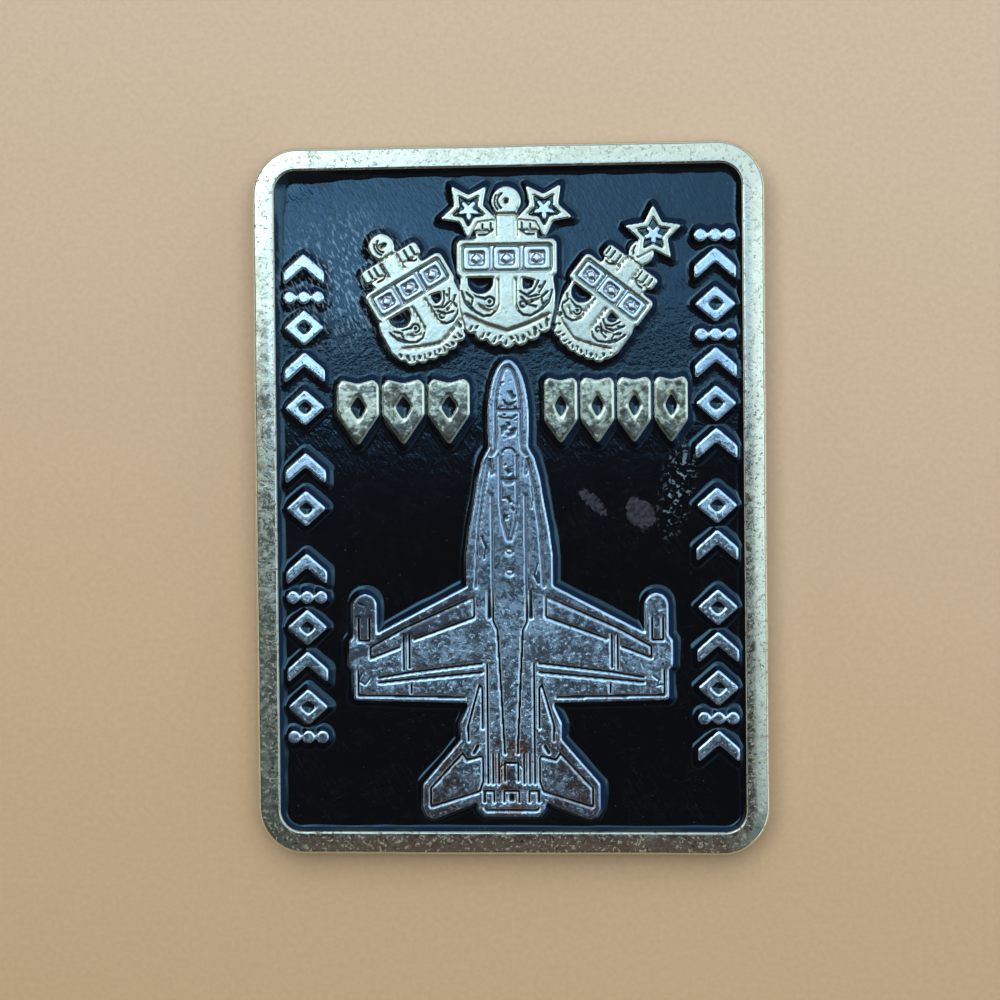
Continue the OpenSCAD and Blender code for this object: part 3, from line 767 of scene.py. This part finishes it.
class Look(Nodes):
    """A node material whose textures are laid out in millimetres."""

    def __init__(self, name):
        self.material = bpy.data.materials.new(name)
        self.material.use_nodes = True
        super().__init__(self.material.node_tree)
        self.bsdf = self.tree.nodes["Principled BSDF"]
        place = self.node("ShaderNodeTexCoord").outputs["Object"]
        self.millimetres = self.node("ShaderNodeMapping", Vector=place,
                                     Scale=(1 / MM, 1 / MM, 1 / MM)).outputs[0]

    def stretched(self, scale, turn=0.0, shift=(0, 0, 0)):
        """The place turned and shifted, and then scaled along its axes."""
        turned = self.node("ShaderNodeMapping", Vector=self.millimetres,
                           Rotation=(0, 0, math.radians(turn)), Location=shift).outputs[0]
        return self.node("ShaderNodeMapping", Vector=turned, Scale=scale).outputs[0]

    def shifted(self, x, y):
        """The place moved along X and Y, which gives noise of another pattern."""
        return self.stretched((1, 1, 1), shift=(x, y, 0))

    def part(self, axis):
        """One axis of the place, in millimetres."""
        return self.node("ShaderNodeSeparateXYZ", Vector=self.millimetres).outputs[axis]

    def noise(self, scale, detail=3.0, rough=0.55, bend=0.0, place=None):
        """Noise with so many features to a millimetre."""
        return self.node("ShaderNodeTexNoise", Vector=place or self.millimetres, Scale=scale,
                         Detail=detail, Roughness=rough, Distortion=bend).outputs["Fac"]

    def attribute(self, name):
        """A mark that some pieces' points carry, and 0 on the others."""
        return self.node("ShaderNodeAttribute", {"attribute_name": name}).outputs["Fac"]

    def distance(self, place, centre):
        made = self.node("ShaderNodeVectorMath", {"operation": "DISTANCE"})
        self.plug(made.inputs[0], place)
        self.plug(made.inputs[1], centre)
        return made.outputs["Value"]

    def spot(self, centre, reach, core):
        """1 within a core radius of a point, in millimetres, down to 0 at the reach."""
        return self.span(self.distance(self.millimetres, centre), core, reach, 1.0, 0.0)

    def streak(self, centre, length, width, turn):
        """1 along the middle of a turned streak, down to 0 at its ends and sides."""
        angle = math.radians(-turn)
        x = centre[0] * math.cos(angle) - centre[1] * math.sin(angle)
        y = centre[0] * math.sin(angle) + centre[1] * math.cos(angle)
        place = self.stretched((1 / length, 1 / width, 0), turn=-turn)
        return self.span(self.distance(place, (x / length, y / width, 0)), 0.3, 1.0, 1.0, 0.0)

    def bump(self, height, distance, under=None):
        """A normal for a height of 0 to 1 that stands for a distance in millimetres."""
        made = self.node("ShaderNodeBump", Height=height, Distance=distance * MM, Strength=1.0)
        if under is not None:
            self.plug(made.inputs["Normal"], under)
        return made.outputs["Normal"]

    def set(self, **values):
        """Sets or links the shader's own sockets."""
        for key, value in values.items():
            self.plug(self.bsdf.inputs[key.replace("_", " ")], value)


# -------------------- materials

METAL_HAIRS = ((38, (2, 5, 0), 0.02), (-52, (9, 1, 0), 0.016), (8, (4, 13, 0), 0.014))
ENAMEL_HAIRS = ((58, (5, 3, 0), 0.012), (-25, (1, 9, 0), 0.010))
HAIR_DEPTH = 0.004
RUST = (0.46, 0.33, 0.29, 1)
PATINA_SHADE = 0.2
WORN_ROUGHNESS = 0.28
MOTTLE_SPREAD = 0.07
STAIN_SPREAD = 0.04
AGED_Y, FRESH_Y, FRESH = 3.0, 15.0, 0.3
WALL_AGE = 0.35

INK = (0.002, 0.0015, 0.002, 1)
DUST = (0.12, 0.13, 0.14, 1)
# A painted highlight colour, for glints on the enamel.
PAINTED_GLINT = (0.19, 0.29, 0.35, 1)
# A painted reflection colour, for lighter patches on the enamel.
PAINTED_REFLECTION_INK = (0.055, 0.060, 0.075, 1)
ENAMEL_TINT = (0.42, 0.80, 1.0, 1)
ENAMEL_IOR = 1.65


def hairlines(look, lines):
    """Fine straight hairs in scattered patches: each family of them by its turn, shift and width."""
    families = []
    for turn, shift, width in lines:
        along = look.stretched((0.35, 5.5, 1), turn=turn, shift=shift)
        off_line = look.maths("ABSOLUTE", look.maths("SUBTRACT", look.noise(1.0, place=along), 0.5), 0)
        patchy = look.noise(0.5, detail=2, place=look.stretched((1, 1, 1), shift=shift))
        families.append(look.times(look.span(off_line, 0.0, width, 1.0, 0.0),
                                   look.span(patchy, 0.48, 0.62)))
    return look.most(*families)


def mottles(look, scale):
    """Light and dark mottles of three sizes together, and those of the middle size alone."""
    broad = look.noise(scale * 0.55, detail=2, rough=0.5)
    soft = look.noise(scale * 1.7, rough=0.6, bend=0.3, place=look.shifted(7.3, 2.1))
    small = look.noise(scale * 4.2, rough=0.6, place=look.shifted(1.7, 8.2))
    mottle = look.maths("ADD", look.times(soft, 0.5), look.times(small, 0.25), look.times(broad, 0.25))
    return look.span(mottle, 0.5 - MOTTLE_SPREAD, 0.5 + MOTTLE_SPREAD), soft


def ageing(look):
    """How aged the blank is: most towards the coin's foot, and less on its side wall."""
    z = look.part("Z")
    face = look.most(look.span(z, 2.6, 2.8, WALL_AGE, 1.0), look.span(z, 0.4, 0.2, WALL_AGE, 1.0))
    return look.times(look.span(look.part("Y"), FRESH_Y, AGED_Y, FRESH, 1.0), face)


def stains(look, scale, soft, clouds, flecked, stained_at, age):
    """Dark flecks in patches, clouded areas, and what the piece marks as dark, less on its edges."""
    fleck = look.noise(scale * 3.4, bend=0.6, place=look.shifted(3.1, 5.7))
    flecks = look.times(look.span(fleck, 0.605, 0.65), look.span(soft, 0.56, 0.46), flecked, age)
    clouded = look.span(clouds, stained_at - STAIN_SPREAD, stained_at + STAIN_SPREAD, 0.0, 0.75)
    marked = look.times(look.attribute("dark"), look.span(soft, 0.62, 0.54, 0.25, 0.9))
    rubbed = look.span(look.attribute("edge"), 0.3, 0.9, 1.0, 0.2)
    return look.times(look.most(flecks, clouded, marked), rubbed)


def plated_metal(name, bright, dull, stain, wear_and_highlight, groove_colour, mottled, flecked, stained_at,
                 scale=1.0, scratched=0.1, uneven=0.008, dented=0.0, polish=(0.135, 0.205),
                 aged=False):
    """Softly polished plating with soft mottles, dark flecks in patches, stained areas, and a lighter
    edge colour that is part wear and part painted highlight.
    """
    look = Look(name)
    groove, edge = look.attribute("groove"), look.attribute("edge")
    age = ageing(look) if aged else 1.0
    shade, soft = mottles(look, scale)
    clouds = look.noise(scale * 0.8, detail=4, rough=0.62, bend=0.3, place=look.shifted(11.9, 4.3))
    stained = stains(look, scale, soft, clouds, flecked, stained_at, age)
    hairs = look.times(hairlines(look, METAL_HAIRS), scratched)
    rusty = look.times(look.attribute("rust"), look.span(clouds, 0.47, 0.54))

    dulled = look.times(look.maths("SUBTRACT", 1.0, shade), mottled)
    colour = look.mix(dulled, (*bright, 1), (*dull, 1))
    colour = look.mix(look.attribute("patina"), colour, [PATINA_SHADE * v for v in bright] + [1])
    colour = look.mix(rusty, colour, RUST)
    colour = look.mix(stained, colour, (*stain, 1))
    # Edges and groove lips take the lighter colour: part wear, part painted highlight.
    colour = look.mix(look.span(edge, 0.1, 0.8), colour, (*wear_and_highlight, 1))
    colour = look.mix(look.times(hairs, 0.6), colour, (*bright, 1))
    colour = look.mix(look.span(groove, 0.0, 0.85), colour, (*groove_colour, 1))

    rough = look.most(look.span(look.most(shade, hairs), 0.0, 1.0, *polish),
                      look.span(edge, 0.0, 1.0, 0.0, WORN_ROUGHNESS),
                      look.times(stained, WORN_ROUGHNESS))
    dents = look.span(look.noise(3.9, rough=0.6, place=look.shifted(5.1, 9.4)), 0.60, 0.68)
    normal = look.bump(look.noise(1.5, detail=2.5, rough=0.5), uneven)
    normal = look.bump(hairs, HAIR_DEPTH, under=normal)
    normal = look.bump(look.times(dents, age), dented, under=normal)
    look.set(Base_Color=colour, Metallic=1.0, Roughness=rough, Normal=normal)
    return look.material


def painted_glints(look):
    """Painted highlights: light ticks in the upper left of the field, and flake-shaped glints beside
    the right column.
    """
    ticks = look.noise(1.0, detail=2, rough=0.5, place=look.stretched((6.5, 1.9, 1), turn=-28))
    flake_glints = look.noise(2.6, rough=0.6, bend=0.5)
    corner = look.spot((-11.5, 16.0, ENAMEL_TOP), reach=6.8, core=1.0)
    beside = look.streak((12.0, 0.8), length=4.6, width=1.5, turn=80)
    return look.most(look.times(look.span(ticks, 0.53, 0.64), corner),
                     look.times(look.span(flake_glints, 0.56, 0.63), beside))


def painted_reflection_patches(look):
    """Painted reflections: a ragged patch and a narrow streak on the right of the aircraft, painted
    lighter.
    """
    patch = look.times(look.noise(0.8, detail=5, rough=0.65, bend=0.8),
                       look.streak((9.4, -1.1), length=2.5, width=1.7, turn=-58))
    streaked_reflection = look.times(look.noise(2.2, detail=4, rough=0.7, bend=0.6),
                        look.streak((6.0, -0.2), length=2.5, width=0.9, turn=-44))
    wear_and_highlight = look.most(look.span(patch, 0.34, 0.39), look.span(streaked_reflection, 0.36, 0.47))
    return look.times(wear_and_highlight, look.span(look.noise(3.0), 0.4, 0.6, 0.45, 1.0))


def enamel_relief(look):
    """Orange peel, waves and ripples, calmer in the coin's lower half, and a coarse band above."""
    y = look.part("Y")
    calm = look.span(y, 0.0, 8.5, 0.35, 1.0)
    band = look.times(look.span(y, 15.0, 11.5), look.span(y, 4.0, 8.0))
    peel = look.noise(0.8, rough=0.5)
    waves = look.noise(1.0, rough=0.6, place=look.stretched((3.6, 1.7, 1), turn=-32))
    coarse = look.noise(2.6, rough=0.6)
    ripples = look.noise(1.0, detail=2, rough=0.5, place=look.stretched((6.5, 1.6, 1), turn=-28))
    normal = None
    for height, area, distance in ((peel, calm, 0.012), (waves, calm, 0.008),
                                   (coarse, band, 0.042), (ripples, calm, 0.007)):
        normal = look.bump(look.times(height, area), distance, under=normal)
    return normal


def black_enamel():
    """Glossy near-black soft enamel: orange peel, ripples, dust, and a few places with painted
    highlights and painted reflections.
    """
    look = Look("black_soft_enamel")
    dust = look.span(look.noise(5.0, detail=2, rough=0.6), 0.735, 0.775)
    marks = look.most(dust, look.times(hairlines(look, ENAMEL_HAIRS), 0.2))
    colour = look.mix(look.times(marks, 0.3), INK, DUST)
    # Painted highlights and painted reflections lighten the ink in a few places.
    colour = look.mix(look.times(painted_glints(look), 0.6), colour, PAINTED_GLINT)
    colour = look.mix(look.times(painted_reflection_patches(look), 0.6), colour, PAINTED_REFLECTION_INK)
    rough = look.span(dust, 0.0, 1.0, 0.07, 0.35)
    look.set(Base_Color=colour, Roughness=rough, Normal=enamel_relief(look), IOR=ENAMEL_IOR,
             Specular_Tint=ENAMEL_TINT)
    return look.material


# -------------------- stage

CAMERA_AT = (17.28, 3.52, 200.0)
CAMERA_TURN = (-1.07, 5.185, -0.571)
CAMERA_LENS = 99.73

TABLE_SIZE = 4.0
# The table's colours: painted shade at the front, lighter at the back.
TABLE_FRONT_SHADE = (0.400, 0.277, 0.143, 1)
TABLE_BACK_LIT = (0.457, 0.360, 0.250, 1)
TABLE_AFAR = (0.92, 0.68, 0.45, 1)
TABLE_SLANT = 0.18

# The studio's light depends on the direction (x, y, z) only, a unit vector with +Z straight up.
# The flat coin shows the camera the light from about (x, y) = (X - 17, Y - 3.5) / 198 at its own
# place X, Y in millimetres.
# Where a part of the studio has more than one colour, they run from its left to its right.
ZENITH = (0.046, 0.040, 0.038, 1)
ZENITH_FRONT = (0.105, 0.078, 0.072, 1)
ZENITH_LEFT = (0.08, 0.115, 0.135, 1)
DUSK = (0.155, 0.118, 0.112, 1)
DUSK_LEFT = (0.075, 0.105, 0.12, 1)
HALO = (1.0, 0.97, 1.02, 1)
PANEL_NEAR = ((1.75, 2.65, 3.9, 1), (0.62, 0.98, 1.5, 1), (1.2, 1.55, 1.85, 1))
PANEL_WIDE = ((2.0, 2.5, 2.9, 1), (1.02, 1.3, 1.42, 1), (1.5, 1.95, 2.3, 1))
PANEL_BEYOND = ((2.2, 2.9, 3.5, 1), (0.90, 1.18, 1.44, 1))
PANEL_FOOT = (0.18, 0.25, 0.32, 1)
GLOOM = (0.03, 0.032, 0.04, 1)
GLOOM_BLUE = (0.17, 0.34, 0.72, 1)
WALL_FRONT = (0.22, 0.19, 0.17, 1)
WALL_BACK = (0.80, 0.81, 0.79, 1)
WALL_RIGHT = (1.15, 1.15, 1.1, 1)
HORIZON = (0.42, 0.385, 0.34, 1)


def make_camera():
    """A phone held flat above the coin, a little to its right."""
    data = bpy.data.cameras.new("camera")
    data.lens = CAMERA_LENS
    data.sensor_width = 36.0
    data.clip_start = 0.01
    data.clip_end = 20.0
    camera = bpy.data.objects.new("camera", data)
    camera.location = [v * MM for v in CAMERA_AT]
    camera.rotation_euler = [math.radians(v) for v in CAMERA_TURN]
    bpy.context.scene.collection.objects.link(camera)
    bpy.context.scene.camera = camera


def make_floor():
    """A plain pale table with a fine grain, a little warmer and darker towards the front: painted
    shade.
    """
    look = Look("table_top")
    # Painted shade: the table darkens and warms towards the front, on a slant.
    along = look.maths("ADD", look.part("Y"), look.times(look.part("X"), TABLE_SLANT))
    colour = look.mix(look.span(along, -60.0, 60.0), TABLE_FRONT_SHADE, TABLE_BACK_LIT)
    colour = look.mix(look.spot((0, 0, 0), reach=500.0, core=120.0), TABLE_AFAR, colour)
    grain = look.span(look.noise(2.6, rough=0.6), 0.3, 0.7, 0.965, 1.035)
    colour = look.mix(1.0, colour, grain, blend="MULTIPLY")
    look.set(Base_Color=colour, Roughness=0.75)
    bpy.ops.mesh.primitive_plane_add(size=TABLE_SIZE, location=(0, 0, 0))
    floor = bpy.context.active_object
    floor.name = "table"
    floor.data.materials.append(look.material)


def strip(sky, x, colours, blends):
    """Colours from left to right, each blended into the next over a stretch of x."""
    colour = colours[0]
    for following, (low, high) in zip(colours[1:], blends):
        colour = sky.mix(sky.span(x, low, high), colour, following)
    return colour


def panel_light(sky, x, y, z):
    """The wide cool panel: how it looks near the zenith, further out, and beyond the coin's top."""
    near = strip(sky, x, PANEL_NEAR, ((-0.2, 0.02), (0.04, 0.12)))
    wide = strip(sky, x, PANEL_WIDE, ((-0.16, -0.10), (0.03, 0.09)))
    beyond = strip(sky, x, PANEL_BEYOND, ((-0.18, -0.14),))
    panel = sky.mix(sky.span(z, 0.975, 0.93), near, wide)
    return sky.mix(sky.span(y, 0.096, 0.110), panel, beyond)


def overhead_light(sky, x, y, z):
    """The dim zenith with its halo, and the panel beyond it and on its right."""
    zenith = sky.mix(sky.span(y, -0.13, -0.2), ZENITH, ZENITH_FRONT)
    zenith = sky.mix(sky.span(x, -0.12, -0.3), zenith, ZENITH_LEFT)
    dusk = sky.mix(sky.span(x, -0.1, -0.3), DUSK, DUSK_LEFT)
    halo = sky.mix(sky.span(y, -0.04, 0.08), dusk, HALO)
    panel = panel_light(sky, x, y, z)
    side = sky.mix(sky.span(y, -0.2, 0.05), PANEL_FOOT, panel)
    light = sky.mix(sky.span(z, 0.94, 0.89), zenith, halo)
    light = sky.mix(sky.span(x, 0.06, 0.14), light, side)
    farther = sky.maths("ADD", y, sky.span(x, -0.16, -0.27, 0.0, -0.035))
    return sky.mix(sky.span(farther, 0.016, 0.031), light, panel)


def make_world():
    """A soft studio: a wide cool panel beyond the coin's top, pale walls, and a dim zenith."""
    world = bpy.data.worlds.new("studio")
    bpy.context.scene.world = world
    world.use_nodes = True
    sky = Nodes(world.node_tree)
    direction = sky.node("ShaderNodeTexCoord").outputs["Generated"]
    x, y, z = sky.node("ShaderNodeSeparateXYZ", Vector=direction).outputs

    gloom = sky.mix(sky.span(sky.maths("ADD", x, y), -0.1, 0.35), GLOOM, GLOOM_BLUE)
    walls = sky.mix(sky.span(y, -0.9, 0.1), WALL_FRONT, WALL_BACK)
    walls = sky.mix(sky.span(x, 0.3, 0.8), walls, WALL_RIGHT)
    light = sky.mix(sky.span(z, 0.87, 0.80), overhead_light(sky, x, y, z), gloom)
    light = sky.mix(sky.span(z, 0.58, 0.46), light, walls)
    light = sky.mix(sky.span(z, 0.14, 0.02), light, HORIZON)
    sky.plug(sky.tree.nodes["Background"].inputs["Color"], light)


def make_lamp():
    """A broad warm softbox over the coin's top that lights the table."""
    data = bpy.data.lights.new("softbox", "AREA")
    data.shape = "SQUARE"
    data.size = 0.3
    data.energy = 0.85
    data.color = (1.0, 0.93, 0.89)
    lamp = bpy.data.objects.new("softbox", data)
    lamp.location = (0.01, 0.08, 0.25)
    lamp.rotation_euler = (math.radians(-18), math.radians(3), 0)
    lamp.visible_glossy = False
    bpy.context.scene.collection.objects.link(lamp)


# -------------------- the coin

DARK_GROOVE = (0.018, 0.026, 0.034)
SOFT_GROOVE = (0.055, 0.085, 0.085)
BORDER = plated_metal("antique_gold_border", (0.69, 0.68, 0.515), (0.63, 0.62, 0.48),
                      (0.11, 0.09, 0.07), wear_and_highlight=(0.74, 0.72, 0.54), groove_colour=DARK_GROOVE,
                      mottled=0.7, flecked=0.8, stained_at=0.70, scale=1.2, scratched=0.18,
                      uneven=0.006, dented=0.06, polish=(0.10, 0.20), aged=True)
GOLD = plated_metal("antique_gold_plating", (0.69, 0.70, 0.52), (0.56, 0.58, 0.45),
                    (0.16, 0.16, 0.13), wear_and_highlight=(0.82, 0.83, 0.62), groove_colour=SOFT_GROOVE,
                    mottled=0.9, flecked=0.4, stained_at=0.68)
WORN_GOLD = plated_metal("antique_gold_worn", (0.68, 0.68, 0.47), (0.20, 0.21, 0.155),
                         (0.065, 0.047, 0.035), wear_and_highlight=(0.68, 0.68, 0.50),
                         groove_colour=SOFT_GROOVE, mottled=1.0, flecked=0.7, stained_at=0.56,
                         scale=0.9, uneven=0.012)
SILVER = plated_metal("antique_silver_plating", (0.64, 0.82, 0.92), (0.50, 0.66, 0.75),
                      (0.055, 0.045, 0.05), wear_and_highlight=(0.74, 0.87, 0.93), groove_colour=DARK_GROOVE,
                      mottled=0.9, flecked=0.85, stained_at=0.66, scale=1.1, dented=0.01)
BRIGHT_SILVER = plated_metal("antique_silver_bright", (0.70, 0.80, 0.84), (0.56, 0.66, 0.72),
                             (0.2, 0.22, 0.25), wear_and_highlight=(0.66, 0.82, 0.88),
                             groove_colour=SOFT_GROOVE, mottled=0.8, flecked=0.2,
                             stained_at=0.70)
ENAMEL = black_enamel()

make_camera()
make_floor()
make_world()
make_lamp()
bpy.context.scene.view_settings.view_transform = "Standard"

DETAILS = {
    "anchor_centre": anchor_details("plaque_centre", 0, 1.0),
    "anchor_left": anchor_details("plaque_left", 30, 0.88),
    "anchor_right": anchor_details("plaque_right", -38, 0.84),
    "star_inlays": star_points,
    "jet_relief": jet_details,
}

FORMS = (
    ("jet", Form(edge=0.14, blurred=0.055)),
    ("anchor", Form(edge=0.12, drop=0.04, core=(0.5, 0.95))),
    (("star_centre", "star_right"), Form(edge=0.08, drop=0.03, smoothing=0.09)),
    ("upper", Form(edge=0.2, smoothing=0.13)),
    (("left_column", "right_column"), Form(edge=0.12, drop=0.04, smoothing=0.11)),
)

PAINTS = {
    "jet_relief": {"patina": body_faint, "dark": wing_dark, "rust": tail_rust},
    "upper_left_marks": {"dark": lower_dark("upper_left_marks", 0.9)},
    "upper_right_marks": {"dark": lower_dark("upper_right_marks", 0.6)},
}


def form_of(node):
    """The form that goes with the start of a node's name, or the plain one."""
    return next((form for start, form in FORMS if node.startswith(start)), Form())


blank(BORDER)
for node in GOLD_FRONT:
    metal = WORN_GOLD if node.startswith("upper") else GOLD
    device(node, metal, FRONT, form_of(node), DETAILS.get(node), PAINTS.get(node))
for node in SILVER_FRONT:
    plaque = node.startswith("plaque")
    metal = BRIGHT_SILVER if plaque or node == "star_inlays" else SILVER
    device(node, metal, FRONT, form_of(node), DETAILS.get(node), PAINTS.get(node),
           steps_only=plaque)
for node in ENAMEL_FRONT:
    enamel(node, ENAMEL, FRONT, soft=0.14 if "mark" in node else 0.05)
for node in GOLD_BACK:
    device(node, GOLD, BACK, Form())
for node in SILVER_BACK:
    device(node, SILVER, BACK, Form())
for node in ENAMEL_BACK:
    enamel(node, ENAMEL, BACK)
